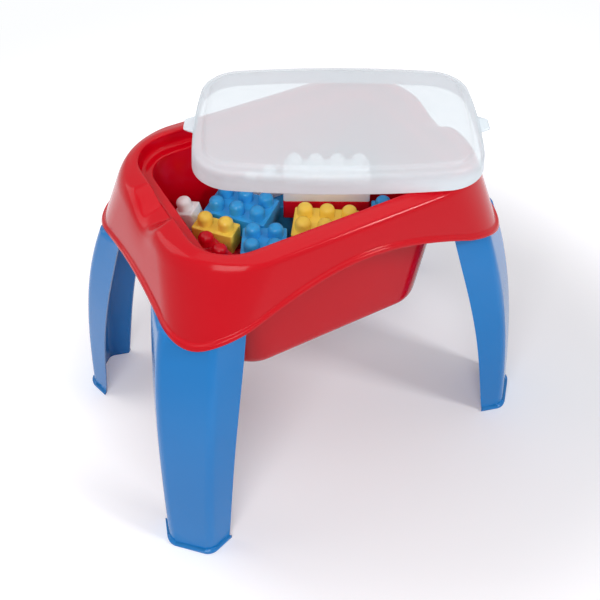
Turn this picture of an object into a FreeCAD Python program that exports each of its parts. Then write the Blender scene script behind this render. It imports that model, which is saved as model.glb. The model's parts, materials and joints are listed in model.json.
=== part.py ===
import FreeCAD, Part
import math
import os
import re
import Sketcher

# Building block table for small children: a red moulded top with a storage tub, four blue channel legs,
# a milky lid lying turned across the rim, and hollow building blocks piled in the tub.
# Millimetres. The origin lies on the floor under the middle of the table, X along its length, Z up.

Vector = FreeCAD.Vector
UP = Vector(0, 0, 1)

doc = FreeCAD.newDocument("BlockTable")
sheet = doc.addObject("Spreadsheet::Sheet", "Sizes")

# Driving dimensions: name, value and what it measures
SIZES = [
    ("rim_height", 387, "floor to the crest of the rim"),
    ("wall", 3, "wall of the table top"),
    ("opening_length", 314, "opening of the tub at the crest"),
    ("opening_width", 214, "opening of the tub at the crest"),
    ("opening_corner", 48, "corner radius of the opening"),
    ("crest_width", 6, "level crest of the rim around the opening"),
    ("fold_drop", 4, "fall of the rim from the crest to its fold"),
    ("fold_end", 26, "rim from the opening to its fold, at a short side"),
    ("fold_side", 20.5, "rim from the opening to its fold, at a long side"),
    ("fold_corner", 88, "corner radius at the fold"),
    ("fold_round", 7, "rounding of the fold"),
    ("skirt_drop", 102, "depth below the crest at which the skirt's outline is given"),
    ("skirt_end", 23, "spread of the skirt from the fold to that depth, at a short side"),
    ("skirt_side", 19.5, "spread of the skirt from the fold to that depth, at a long side"),
    ("skirt_corner", 57, "corner radius of the skirt outline"),
    ("arch_long_drop", 39, "crest to the skirt's edge at the middle of a long side"),
    ("arch_short_drop", 73, "crest to the skirt's edge at the middle of a short side"),
    ("arch_corner_drop", 97, "crest to the height that both arched edges fall to at the corners"),
    ("lip_height", 5, "rolled lip along the skirt's edge"),
    ("lip_proud", 2.5, "how far the lip stands out"),
    ("ledge_drop", 17, "ledge for the lid, below the crest"),
    ("ledge_width", 13, "width of the ledge"),
    ("tub_depth", 201, "crest to the tub's inner floor"),
    ("tub_taper", 0.885, "tub's floor as a share of its head"),
    ("tub_foot_corner", 40, "corner radius at the tub's floor"),
    ("tub_foot_round", 14, "rounding between the tub's walls and floor"),
    ("recess_width", 50, "scooped recess for the lid's ear, through the crest"),
    ("recess_draft", 4, "how far the recess narrows on each side towards its floor"),
    ("recess_depth", 13, "depth of the recess below the crest"),
    ("recess_round", 5, "rounding along the recess's floor"),
    ("lid_clearance", 0.8, "room between the lid and the opening"),
    ("lid_wall", 2, "wall of the lid"),
    ("lid_skirt", 22, "height of the lid's skirt"),
    ("lid_draft", 2, "how much the lid's skirt leans in"),
    ("lid_shelf", 13, "shelf between the lid's edge and its raised panel"),
    ("lid_step", 3, "height of the raised panel"),
    ("lid_round", 4, "rounding of the lid's shoulder"),
    ("lid_side_bow", 980, "radius of the lid's bowed long sides"),
    ("lid_end_bow", 620, "radius of the lid's bowed short sides"),
    ("ear_length", 34, "lid's ear along the short side"),
    ("ear_reach", 9, "how far the ear stands out"),
    ("ear_thickness", 3, "thickness of the ear"),
    ("lid_turn", -29.3, "angle of the lid, lying across the rim"),
    ("lid_offset_x", 54, "centre of the lid from the centre of the table"),
    ("lid_offset_y", 15, "centre of the lid from the centre of the table"),
    ("seat_gap", 0.3, "gap under what lies loose"),
    ("leg_wall", 3, "wall of a leg"),
    ("leg_round", 13, "rounded corners of a leg's channel"),
    ("leg_skew", 15.3, "middle of a leg from the line at 45 degrees through the skirt's corner"),
    ("leg_drop", 42, "crest to a leg's shoulder"),
    ("foot_flange_height", 4.5, "flange along the foot"),
    ("foot_flange_proud", 3, "how far the flange stands out"),
    ("tongue_length", 30, "tongue on the leg's shoulder, across the corner"),
    ("tongue_width", 14, "tongue, along the corner"),
    ("tongue_height", 18, "tongue above the shoulder"),
    ("tongue_margin", 1, "tongue from the inner edge of the shoulder"),
    ("socket_clearance", 0.3, "room around the tongue in its socket"),
    ("studs_along", 12.56, "stud spacings in the opening's length"),
    ("studs_across", 8.56, "stud spacings in the opening's width"),
    ("block_rise", 0.962, "block without its studs, as a share of the stud spacing"),
    ("block_wall", 2, "wall of a block"),
    ("block_play", 0.3, "how much smaller a block is than its grid"),
    ("stud_rise", 0.558, "stud above the block, as a share of the stud spacing"),
    ("stud_room", 1.65, "room between a stud and the walls of a block plugged onto it"),
    ("stud_chamfer", 3, "rounded crown of the stud, as a chamfer"),
    ("tube_wall", 1.6, "wall of the tubes inside a block"),
    ("stud_clearance", 0.3, "room between a stud and the tubes of the block above"),
]

# Stations of a leg from the floor up: height as a share of the shoulder's, free edge, outer face, half width
# at the free edges, and half width of the flat face. Edge and face are measured outwards at 45 degrees from
# where the skirt's sides would meet.
LEG_STATIONS = ["foot", "shin", "knee", "thigh", "shoulder"]
LEG_TABLE = {
    "rise": [0, 0.261, 0.522, 0.754, 1],
    "free_edge": [4.4, -12.6, -33.6, -58.6, -85.6],
    "face": [30.4, 18.4, 1.4, -21.6, -58.6],
    "half": [40, 44, 48, 51, 51],
    "flat": [18, 20, 22, 23, 16],
}
for field, values in LEG_TABLE.items():
    for station, value in zip(LEG_STATIONS, values):
        SIZES.append((f"{station}_{field}", value, f"leg {field} at the {station}"))

# Sizes that follow from the driving ones
SIZES += [
    ("fold_length", "=opening_length + 2 * fold_end", "table top at the fold between rim and skirt"),
    ("fold_width", "=opening_width + 2 * fold_side", "table top at the fold between rim and skirt"),
    ("skirt_base", "=rim_height - skirt_drop", "height at which the skirt's outline is given"),
    ("skirt_length", "=fold_length + 2 * skirt_end", "skirt outline at that height"),
    ("skirt_width", "=fold_width + 2 * skirt_side", "skirt outline at that height"),
    ("arch_long", "=rim_height - arch_long_drop", "skirt's edge at the middle of a long side"),
    ("arch_short", "=rim_height - arch_short_drop", "skirt's edge at the middle of a short side"),
    ("arch_corner", "=rim_height - arch_corner_drop", "skirt's edge at the corners"),
    ("tub_floor", "=rim_height - tub_depth", "height of the tub's inner floor"),
    ("tub_foot_length", "=(opening_length - 2 * ledge_width) * tub_taper", "tub inside at its floor"),
    ("tub_foot_width", "=(opening_width - 2 * ledge_width) * tub_taper", "tub inside at its floor"),
    ("leg_top", "=rim_height - leg_drop", "height of a leg's shoulder"),
    ("leg_corner", "=(skirt_length + skirt_width) / sqrt(8)", "where the skirt's sides would meet"),
    ("leg_shift", "=(skirt_length - skirt_width) / sqrt(8) + leg_skew", "middle of a leg, across the corner"),
    ("tongue_reach", "=leg_corner + shoulder_free_edge + tongue_margin + tongue_width / 2",
     "centre of the tongue, along the corner"),
    ("block_pitch", "=min(opening_length / studs_along; opening_width / studs_across)",
     "spacing of the studs"),
    ("block_height", "=block_rise * block_pitch", "block without its studs"),
    ("stud_height", "=stud_rise * block_pitch", "stud above the block"),
    ("stud_diameter", "=block_pitch - block_play - 2 * (block_wall + stud_room)", "stud"),
]

for row, (name, value, note) in enumerate(SIZES, start=1):
    sheet.set(f"A{row}", name)
    sheet.set(f"B{row}", str(value))
    sheet.setAlias(f"B{row}", name)
    sheet.set(f"C{row}", note)
doc.recompute()

ALIASES = {name for name, value, note in SIZES}


def bind(formula):
    """Return a formula on size names as an expression on the sheet's cells."""
    def cell(word):
        """Return a word of the formula, as a cell where it names a size."""
        return f"Sizes.{word[0]}" if word[0] in ALIASES else word[0]

    return re.sub(r"[a-z_]+", cell, str(formula))


def size(formula):
    """Return the number that a formula on size names gives."""
    return float(sheet.evalExpression(bind(formula)))


def set_sizes(target, **formulas):
    """Bind properties of a document object to formulas on the sheet."""
    for path, formula in formulas.items():
        target.setExpression(path.replace("__", "."), bind(formula))


# Sketches


def constrain(sketch, name, kind, *place, formula):
    """Add a named dimension to a sketch and bind it to the sheet."""
    index = sketch.addConstraint(Sketcher.Constraint(kind, *place, size(formula)))
    sketch.renameConstraint(index, name)
    sketch.setExpression(f"Constraints.{name}", bind(formula))


def join_round(sketch, count):
    """Join consecutive curves of a closed outline end to end, tangent to each other."""
    for curve in range(count):
        sketch.addConstraint(Sketcher.Constraint("Tangent", curve, 2, (curve + 1) % count, 1))


def arc(centre_x, centre_y, radius, start, end):
    """Return an arc between two angles in degrees, counterclockwise."""
    circle = Part.Circle(Vector(centre_x, centre_y, 0), UP, radius)
    return Part.ArcOfCircle(circle, math.radians(start), math.radians(end))


def segment(x1, y1, x2, y2):
    """Return a straight line between two points of a sketch."""
    return Part.LineSegment(Vector(x1, y1, 0), Vector(x2, y2, 0))


def rounded_rectangle(name, height, half_length, half_width, corner):
    """Return a level sketch of a rectangle with round corners about the table's centre."""
    sketch = doc.addObject("Sketcher::SketchObject", name)
    a, b, r = size(half_length), size(half_width), size(corner)
    sketch.addGeometry([
        segment(r - a, -b, a - r, -b), arc(a - r, r - b, r, 270, 360),
        segment(a, r - b, a, b - r), arc(a - r, b - r, r, 0, 90),
        segment(a - r, b, r - a, b), arc(r - a, b - r, r, 90, 180),
        segment(-a, b - r, -a, r - b), arc(r - a, r - b, r, 180, 270),
    ], False)
    join_round(sketch, 8)
    for side in (0, 4):
        sketch.addConstraint(Sketcher.Constraint("Horizontal", side))
    for end in (2, 6):
        sketch.addConstraint(Sketcher.Constraint("Vertical", end))
    for other in (3, 5, 7):
        sketch.addConstraint(Sketcher.Constraint("Equal", 1, other))
    sketch.addConstraint(Sketcher.Constraint("Symmetric", 1, 3, 5, 3, -1, 1))
    constrain(sketch, "half_length", "DistanceX", -1, 1, 2, 1, formula=half_length)
    constrain(sketch, "half_width", "DistanceY", 0, 1, -1, 1, formula=half_width)
    constrain(sketch, "corner", "Radius", 1, formula=corner)
    set_sizes(sketch, Placement__Base__z=height)
    return sketch


def bowed_rectangle(name, height, half_length, half_width, corner, side_bow, end_bow):
    """Return a level sketch of a rectangle with round corners whose four sides bow outwards."""
    sketch = doc.addObject("Sketcher::SketchObject", name)
    a, b, r = size(half_length), size(half_width), size(corner)
    side, end = size(side_bow), size(end_bow)
    corner_x, corner_y = a - r, b - r
    for _ in range(60):
        corner_y = b - side + math.sqrt((side - r) ** 2 - corner_x ** 2)
        corner_x = a - end + math.sqrt((end - r) ** 2 - corner_y ** 2)
    lean = math.degrees(math.asin(corner_x / (side - r)))
    turn = math.degrees(math.asin(corner_y / (end - r)))
    sketch.addGeometry([
        arc(0, side - b, side, 270 - lean, 270 + lean), arc(corner_x, -corner_y, r, 270 + lean, 360 - turn),
        arc(a - end, 0, end, -turn, turn), arc(corner_x, corner_y, r, turn, 90 - lean),
        arc(0, b - side, side, 90 - lean, 90 + lean), arc(-corner_x, corner_y, r, 90 + lean, 180 - turn),
        arc(end - a, 0, end, 180 - turn, 180 + turn), arc(-corner_x, -corner_y, r, 180 + turn, 270 - lean),
    ], False)
    join_round(sketch, 8)
    for other in (3, 5, 7):
        sketch.addConstraint(Sketcher.Constraint("Equal", 1, other))
    sketch.addConstraint(Sketcher.Constraint("Equal", 0, 4))
    sketch.addConstraint(Sketcher.Constraint("Equal", 2, 6))
    for curve in (0, 4):
        sketch.addConstraint(Sketcher.Constraint("PointOnObject", curve, 3, -2))
    for curve in (2, 6):
        sketch.addConstraint(Sketcher.Constraint("PointOnObject", curve, 3, -1))
    constrain(sketch, "corner", "Radius", 1, formula=corner)
    constrain(sketch, "side_bow", "Radius", 0, formula=side_bow)
    constrain(sketch, "end_bow", "Radius", 2, formula=end_bow)
    constrain(sketch, "front", "DistanceY", -1, 1, 0, 3, formula=f"{side_bow} - ({half_width})")
    constrain(sketch, "back", "DistanceY", 4, 3, -1, 1, formula=f"{side_bow} - ({half_width})")
    constrain(sketch, "right", "DistanceX", 2, 3, -1, 1, formula=f"{end_bow} - ({half_length})")
    constrain(sketch, "left", "DistanceX", -1, 1, 6, 3, formula=f"{end_bow} - ({half_length})")
    set_sizes(sketch, Placement__Base__z=height)
    return sketch


def channel_section(name, height, free_edge, face, half, flat, corner):
    """Return a level sketch across a leg: a flat outer face, round corners and two wings, closed behind.

    The sketch's X runs outwards along the corner's diagonal.
    """
    sketch = doc.addObject("Sketcher::SketchObject", name)
    inner, outer, reach, panel, r = size(free_edge), size(face), size(half), size(flat), size(corner)
    centre = outer - r
    span = math.hypot(inner - centre, reach - panel)
    touch = math.degrees(math.atan2(reach - panel, inner - centre) - math.acos(r / span))
    touch_x = centre + r * math.cos(math.radians(touch))
    touch_y = panel + r * math.sin(math.radians(touch))
    sketch.addGeometry([
        segment(inner, -reach, touch_x, -touch_y), arc(centre, -panel, r, -touch, 0),
        segment(outer, -panel, outer, panel), arc(centre, panel, r, 0, touch),
        segment(touch_x, touch_y, inner, reach), segment(inner, reach, inner, -reach),
    ], False)
    for curve in range(4):
        sketch.addConstraint(Sketcher.Constraint("Tangent", curve, 2, curve + 1, 1))
    sketch.addConstraint(Sketcher.Constraint("Coincident", 4, 2, 5, 1))
    sketch.addConstraint(Sketcher.Constraint("Coincident", 5, 2, 0, 1))
    sketch.addConstraint(Sketcher.Constraint("Vertical", 2))
    sketch.addConstraint(Sketcher.Constraint("Equal", 1, 3))
    sketch.addConstraint(Sketcher.Constraint("Symmetric", 5, 1, 5, 2, -1))
    constrain(sketch, "free_edge", "DistanceX", -1, 1, 5, 1, formula=free_edge)
    constrain(sketch, "half", "DistanceY", -1, 1, 5, 1, formula=half)
    constrain(sketch, "face", "DistanceX", -1, 1, 2, 1, formula=face)
    constrain(sketch, "panel_low", "DistanceY", 2, 1, -1, 1, formula=flat)
    constrain(sketch, "corner", "Radius", 1, formula=corner)
    sketch.Placement = FreeCAD.Placement(Vector(0, 0, 0), FreeCAD.Rotation(UP, 45))
    set_sizes(sketch, Placement__Base__x="leg_shift / sqrt(2)", Placement__Base__y="-leg_shift / sqrt(2)",
              Placement__Base__z=height)
    return sketch


def arched_sheet(name, half_span, crown, spring, depth, across_x):
    """Return a solid with an arched top, as deep as given each way, that trims what lies under the arch."""
    sketch = doc.addObject("Sketcher::SketchObject", name + "_profile")
    half, top, low = size(half_span), size(crown), size(spring)
    rise = top - low
    radius = (half ** 2 + rise ** 2) / (2 * rise)
    sweep = math.degrees(math.asin(half / radius))
    sketch.addGeometry([
        arc(0, top - radius, radius, 90 - sweep, 90 + sweep), segment(-half, low, -half, 0),
        segment(-half, 0, half, 0), segment(half, 0, half, low),
    ], False)
    for curve in range(4):
        sketch.addConstraint(Sketcher.Constraint("Coincident", curve, 2, (curve + 1) % 4, 1))
    sketch.addConstraint(Sketcher.Constraint("Vertical", 1))
    sketch.addConstraint(Sketcher.Constraint("Horizontal", 2))
    sketch.addConstraint(Sketcher.Constraint("Vertical", 3))
    sketch.addConstraint(Sketcher.Constraint("PointOnObject", 2, 1, -1))
    sketch.addConstraint(Sketcher.Constraint("PointOnObject", 0, 3, -2))
    constrain(sketch, "half_span", "DistanceX", -1, 1, 2, 2, formula=half_span)
    constrain(sketch, "spring", "DistanceY", 3, 1, 3, 2, formula=spring)
    constrain(sketch, "arch", "Radius", 0,
              formula=f"(({half_span})^2 + ({crown} - ({spring}))^2) / (2 * ({crown} - ({spring})))")
    upright = FreeCAD.Rotation(Vector(1, 0, 0), 90)
    facing = FreeCAD.Rotation(UP, 90) if across_x else FreeCAD.Rotation(UP, 0)
    sketch.Placement = FreeCAD.Placement(Vector(0, 0, 0), facing.multiply(upright))
    body = doc.addObject("Part::Extrusion", name)
    body.Base = sketch
    body.DirMode = "Normal"
    body.Solid = True
    body.Symmetric = True
    set_sizes(body, LengthFwd=f"2 * ({depth})")
    return body


# Solids from sketches and from each other


def loft(name, sections, ruled):
    """Return a solid through level sections."""
    body = doc.addObject("Part::Loft", name)
    body.Sections = sections
    body.Solid = True
    body.Ruled = ruled
    return body


def cut(name, base, tool):
    """Return a solid less another."""
    body = doc.addObject("Part::Cut", name)
    body.Base = base
    body.Tool = tool
    return body


def common(name, *shapes):
    """Return what solids share."""
    body = doc.addObject("Part::MultiCommon", name)
    body.Shapes = list(shapes)
    return body


def fuse(name, *shapes):
    """Return solids joined into one."""
    body = doc.addObject("Part::MultiFuse", name)
    body.Shapes = list(shapes)
    body.Refine = True
    return body


def box(name, length, width, height, x="0", y="0", z="0", turn=0):
    """Return a box centred on a point in plan, standing on the given height."""
    body = doc.addObject("Part::Box", name)
    along, across = math.cos(math.radians(turn)), math.sin(math.radians(turn))
    body.Placement = FreeCAD.Placement(Vector(0, 0, 0), FreeCAD.Rotation(UP, turn))
    set_sizes(body, Length=length, Width=width, Height=height,
              Placement__Base__x=f"({x}) - ({along} * ({length}) - {across} * ({width})) / 2",
              Placement__Base__y=f"({y}) - ({across} * ({length}) + {along} * ({width})) / 2",
              Placement__Base__z=z)
    return body


def rounded(name, base, radius, chosen):
    """Return a solid with the chosen edges rounded."""
    doc.recompute()
    body = doc.addObject("Part::Fillet", name)
    body.Base = base
    reach = size(radius)
    numbered = enumerate(base.Shape.Edges, start=1)
    body.Edges = [(number, reach, reach) for number, edge in numbered if chosen(edge)]
    return body


def level_at(height):
    """Return a test for edges that lie level at a height."""
    target = size(height)
    return lambda edge: abs(edge.BoundBox.ZMin - target) < 1e-3 and abs(edge.BoundBox.ZMax - target) < 1e-3


# Table top


def skirt_section(name, height, inset):
    """Return the skirt's outline at a height, inset by a wall or outset by a lip."""
    share = f"(({height}) - skirt_base) / (rim_height - fold_drop - skirt_base)"
    return rounded_rectangle(
        name, height,
        f"skirt_length / 2 + (fold_length - skirt_length) / 2 * {share} - ({inset})",
        f"skirt_width / 2 + (fold_width - skirt_width) / 2 * {share} - ({inset})",
        f"skirt_corner + (fold_corner - skirt_corner) * {share} - ({inset})")


def rim_solid(name, inset, drop):
    """Return the rim and skirt as a full block, inset and lowered by a wall for its inside."""
    low = "arch_corner - 4 * lip_height"
    fold = "rim_height - fold_drop"
    sections = [skirt_section(name + "_edge", low, inset)]
    sections.append(rounded_rectangle(name + "_fold", f"{fold} - ({drop})", f"fold_length / 2 - ({inset})",
                                      f"fold_width / 2 - ({inset})", f"fold_corner - ({inset})"))
    sections.append(rounded_rectangle(name + "_crest", f"rim_height - ({drop})",
                                      "opening_length / 2 + crest_width", "opening_width / 2 + crest_width",
                                      "opening_corner + crest_width"))
    block = loft(name + "_loft", sections, True)
    return rounded(name, block, f"fold_round - ({drop})", level_at(f"{fold} - ({drop})"))


def skirt_trim(name, lift):
    """Return what lies under the skirt's arched edge, raised by the given amount."""
    long_side = arched_sheet(name + "_long", "skirt_length / 2 + wall", f"arch_long + {lift}",
                             f"arch_corner + {lift}", "skirt_width", False)
    short_side = arched_sheet(name + "_short", "skirt_width / 2 + wall", f"arch_short + {lift}",
                              f"arch_corner + {lift}", "skirt_length", True)
    return fuse(name, long_side, short_side)


def straight_well(name, low, high, grow):
    """Return an upright block with the outline of the opening, grown all round."""
    sections = [rounded_rectangle(f"{name}_{end}", height, f"opening_length / 2 + ({grow})",
                                  f"opening_width / 2 + ({grow})", f"opening_corner + ({grow})")
                for end, height in (("low", low), ("high", high))]
    return loft(name, sections, True)


def tub_block(name, grow, top):
    """Return the tapering tub as a full block with a rounded foot, grown by a wall for its outside."""
    low = f"tub_floor - ({grow})"
    foot = rounded_rectangle(name + "_foot", low, f"tub_foot_length / 2 + ({grow})",
                             f"tub_foot_width / 2 + ({grow})", f"tub_foot_corner + ({grow})")
    head = rounded_rectangle(name + "_head", top, f"opening_length / 2 - ledge_width + ({grow})",
                             f"opening_width / 2 - ledge_width + ({grow})",
                             f"opening_corner - ledge_width + ({grow})")
    block = loft(name + "_loft", [foot, head], True)
    return rounded(name, block, f"tub_foot_round + ({grow})", level_at(low))


def ear_recess(name, side, grow, top):
    """Return the scoop for one ear of the lid, through the crest and open outwards, grown for its shell."""
    scoop = doc.addObject("Part::Wedge", name)
    turned = FreeCAD.Rotation(Vector(1, 1, 1), 120)
    scoop.Placement = FreeCAD.Placement(Vector(0, 0, 0), turned)
    start = f"(opening_length / 2 - recess_draft - wall - ({grow}))"
    half = f"(recess_width / 2 + ({grow}))"
    near, far = ("Zmin", "Zmax") if side > 0 else ("Zmax", "Zmin")
    near_top, far_top = near.replace("Z", "Z2"), far.replace("Z", "Z2")
    set_sizes(scoop, Ymin=f"rim_height - recess_depth - ({grow})", Ymax=top)
    set_sizes(scoop, Xmin=f"recess_draft - {half}", Xmax=f"{half} - recess_draft")
    set_sizes(scoop, X2min=f"-{half}", X2max=half)
    set_sizes(scoop, **{near: f"{side} * ({start} + recess_draft)", far: f"{side} * skirt_length / 2",
                        near_top: f"{side} * {start}", far_top: f"{side} * skirt_length / 2"})
    return scoop


CORNERS = {"front_left": (-1, -1), "front_right": (1, -1), "back_left": (-1, 1), "back_right": (1, 1)}
TONGUE_X = "(tongue_reach + leg_shift) / sqrt(2)"
TONGUE_Y = "(tongue_reach - leg_shift) / sqrt(2)"


def corner_box(name, corner, length, width, height, z):
    """Return a box turned across a corner of the table, centred on the leg's tongue."""
    side_x, side_y = CORNERS[corner]
    return box(name, width, length, height, f"{side_x} * {TONGUE_X}", f"{side_y} * {TONGUE_Y}", z,
               turn=45 * side_x * side_y)


def make_table_top():
    """Return the table top: rim, skirt, lip, ledge, tub, ear recesses and leg sockets in one moulding."""
    outside = rim_solid("rim_outside", "0", "0")
    inside = rim_solid("rim_inside", "wall", "wall")
    trim = skirt_trim("skirt_trim", "0")
    skin = cut("rim_skin", cut("rim_shell", outside, inside), trim)

    lip_ends = [skirt_section("lip_low", "arch_corner - 4 * lip_height", "-lip_proud"),
                skirt_section("lip_high", "arch_long + 2 * lip_height", "-lip_proud")]
    lip_block = loft("lip_block", lip_ends, True)
    lip_band = common("lip_band", cut("lip_ring", lip_block, inside), skirt_trim("lip_trim", "lip_height"))
    lip = cut("lip", lip_band, trim)

    ledge = "rim_height - ledge_drop"
    collar = straight_well("collar", f"{ledge} - wall", "rim_height", "wall")
    shells = []
    recesses = []
    for end, side in (("left", -1), ("right", 1)):
        around = ear_recess(f"recess_block_{end}", side, "wall", "rim_height")
        shells.append(common(f"recess_shell_{end}", around, outside))
        scoop = ear_recess(f"scoop_{end}", side, "0", "rim_height + wall")
        floor_edges = level_at("rim_height - recess_depth")
        recesses.append(rounded(f"recess_{end}", scoop, "recess_round", floor_edges))
    sockets = []
    pockets = []
    for corner in CORNERS:
        boss = corner_box(f"boss_{corner}", corner, "tongue_length + 2 * (socket_clearance + wall)",
                          "tongue_width + 2 * (socket_clearance + wall)", "rim_height - leg_top", "leg_top")
        sockets.append(common(f"socket_{corner}", boss, outside))
        pockets.append(corner_box(f"pocket_{corner}", corner, "tongue_length + 2 * socket_clearance",
                                  "tongue_width + 2 * socket_clearance",
                                  "tongue_height + wall", "leg_top"))
    solid = fuse("top_solid", skin, lip, collar, tub_block("tub_outside", "wall", ledge), *shells, *sockets)
    well = straight_well("well", ledge, "rim_height + wall", "0")
    hollow = tub_block("tub_inside", "0", f"{ledge} + wall")
    top = cut("table_top", solid, fuse("top_hollow", well, hollow, *recesses, *pockets))
    top.Label = "table_top"
    return top


# Legs


def leg_block(name, inset, back, side):
    """Return a leg as a full block through its stations, inset by a wall for its inside."""
    sections = []
    for station in LEG_STATIONS:
        sections.append(channel_section(
            f"{name}_{station}", f"{station}_rise * leg_top", f"leg_corner + {station}_free_edge - ({back})",
            f"leg_corner + {station}_face - ({inset})", f"{station}_half - ({side})", f"{station}_flat",
            f"leg_round - ({inset})"))
    return loft(name, sections, False)


def leg_room(name, inset):
    """Return the room that a leg may fill: what lies under the skirt's edge, and the inside of the skirt."""
    below = box(name + "_below", "2 * skirt_length", "2 * skirt_width", f"arch_corner - ({inset})")
    arch = skirt_trim(name + "_arch", f"-({inset})")
    return fuse(name, below, arch, rim_solid(name + "_plug", f"wall + ({inset})", f"wall + ({inset})"))


def make_legs():
    """Return the four legs: a channel with a foot flange, a shoulder under the skirt's lip and a tongue."""
    outside = leg_block("leg_outside", "0", "0", "0")
    inside = leg_block("leg_inside", "leg_wall", "leg_wall", "0.6 * leg_wall")
    grown = [channel_section(f"flange_{end}", height, "leg_corner + foot_free_edge",
                             "leg_corner + foot_face + foot_flange_proud", "foot_half + foot_flange_proud",
                             "foot_flat", "leg_round + foot_flange_proud")
             for end, height in (("low", "0"), ("high", "foot_flange_height"))]
    flange = loft("foot_flange", grown, True)
    skin = common("leg_skin", fuse("leg_flanged", outside, flange), leg_room("leg_room", "socket_clearance"))
    core = common("leg_core", inside, leg_room("core_room", "socket_clearance + leg_wall"))
    slab = box("core_slab", "2 * skirt_length", "2 * skirt_width", "leg_top - leg_wall")
    channel = cut("leg_channel", skin, common("leg_hollow", core, slab))
    tongue = corner_box("leg_tongue", "back_right", "tongue_length", "tongue_width",
                        "tongue_height + leg_wall", "leg_top - leg_wall")
    bore = corner_box("tongue_bore", "back_right", "tongue_length - 2 * leg_wall",
                      "tongue_width - 2 * leg_wall", "tongue_height + 2 * leg_wall", "leg_top - 2 * leg_wall")
    leg = cut("leg", fuse("leg_body", channel, tongue), bore)
    legs = []
    for corner, (side_x, side_y) in CORNERS.items():
        if side_x == side_y:
            placed = doc.addObject("Part::Compound", f"leg_{corner}")
            placed.Links = [leg]
            half_turn = FreeCAD.Rotation(UP, 0 if side_x > 0 else 180)
            placed.Placement = FreeCAD.Placement(Vector(0, 0, 0), half_turn)
        else:
            placed = doc.addObject("Part::Mirroring", f"leg_{corner}")
            placed.Source = leg
            placed.Normal = Vector(1, 0, 0) if side_x < 0 else Vector(0, 1, 0)
        placed.Label = f"leg_{corner}"
        legs.append(placed)
    return legs


# Lid


def lid_section(name, height, inset):
    """Return the lid's bowed outline at a height, inset all round."""
    return bowed_rectangle(name, height, f"opening_length / 2 - lid_clearance - ({inset})",
                           f"opening_width / 2 - lid_clearance - ({inset})",
                           f"opening_corner - lid_clearance - ({inset})", f"lid_side_bow - ({inset})",
                           f"lid_end_bow - ({inset})")


def lid_block(name, inset):
    """Return the lid as a full block with a rounded shoulder and a raised panel, inset for its inside."""
    top = f"lid_skirt - ({inset})"
    skirt = loft(name + "_skirt", [lid_section(name + "_hem", "0", inset),
                                   lid_section(name + "_shoulder", top, f"lid_draft + ({inset})")], True)
    skirt = rounded(name + "_rounded", skirt, f"lid_round - ({inset})", level_at(top))
    foot = f"lid_draft + lid_shelf + ({inset})"
    panel = loft(name + "_panel", [lid_section(name + "_panel_low", f"{top} - lid_wall", foot),
                                   lid_section(name + "_panel_high", f"{top} + lid_step",
                                               f"{foot} + lid_step")], True)
    return fuse(name, skirt, panel)


def make_lid():
    """Return the lid, hollow below, with an ear at each end, lying turned across the rim."""
    outside = lid_block("lid_outside", "0")
    inside = lid_block("lid_inside", "lid_wall")
    ears = rounded_rectangle("ear_outline", "0", "opening_length / 2 - lid_clearance + ear_reach",
                             "ear_length / 2", "ear_reach - lid_wall")
    strip = doc.addObject("Part::Extrusion", "ear_strip")
    strip.Base = ears
    strip.DirMode = "Normal"
    strip.Solid = True
    set_sizes(strip, LengthFwd="ear_thickness")
    lid = cut("lid", fuse("lid_solid", outside, strip), inside)
    lid.Label = "lid"
    turn = FreeCAD.Rotation(UP, size("lid_turn"))
    lid.Placement = FreeCAD.Placement(Vector(0, 0, 0), turn)
    set_sizes(lid, Placement__Base__x="lid_offset_x", Placement__Base__y="lid_offset_y",
              Placement__Base__z="rim_height + seat_gap")
    return lid


# Building blocks


def origin_plane(body, role):
    """Return one of a body's own origin planes."""
    return next(feature for feature in body.Origin.OriginFeatures if feature.Role == role)


def plane_sketch(body, name, height):
    """Return a sketch on a body's level plane, raised to a height."""
    sketch = body.newObject("Sketcher::SketchObject", name)
    sketch.AttachmentSupport = [(origin_plane(body, "XY_Plane"), "")]
    sketch.MapMode = "FlatFace"
    set_sizes(sketch, AttachmentOffset__Base__z=height)
    return sketch


def draw_rectangle(sketch, half_length, half_width):
    """Draw a rectangle about the sketch's origin."""
    a, b = size(half_length), size(half_width)
    sketch.addGeometry([segment(-a, -b, a, -b), segment(a, -b, a, b),
                        segment(a, b, -a, b), segment(-a, b, -a, -b)], False)
    for side in range(4):
        sketch.addConstraint(Sketcher.Constraint("Coincident", side, 2, (side + 1) % 4, 1))
        sketch.addConstraint(Sketcher.Constraint("Vertical" if side % 2 else "Horizontal", side))
    sketch.addConstraint(Sketcher.Constraint("Symmetric", 0, 1, 1, 2, -1, 1))
    constrain(sketch, "half_length", "DistanceX", -1, 1, 0, 2, formula=half_length)
    constrain(sketch, "half_width", "DistanceY", 0, 2, -1, 1, formula=half_width)


def draw_circles(sketch, columns, rows, *diameters):
    """Draw circles of the given diameters on a grid at the stud pitch, about the sketch's origin."""
    for column in range(columns):
        for row in range(rows):
            x, y = column - (columns - 1) / 2, row - (rows - 1) / 2
            for diameter in diameters:
                place = Vector(size(f"{x} * block_pitch"), size(f"{y} * block_pitch"), 0)
                circle = sketch.addGeometry(Part.Circle(place, UP, size(diameter) / 2), False)
                constrain(sketch, f"across_{circle}", "Diameter", circle, formula=diameter)
                constrain(sketch, f"x_{circle}", "DistanceX", -1, 1, circle, 3, formula=f"{x} * block_pitch")
                constrain(sketch, f"y_{circle}", "DistanceY", -1, 1, circle, 3, formula=f"{y} * block_pitch")


def pad(body, name, sketch, length):
    """Return a pad of a sketch, upwards."""
    feature = body.newObject("PartDesign::Pad", name)
    feature.Profile = sketch
    set_sizes(feature, Length=length)
    doc.recompute()
    return feature


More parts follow.
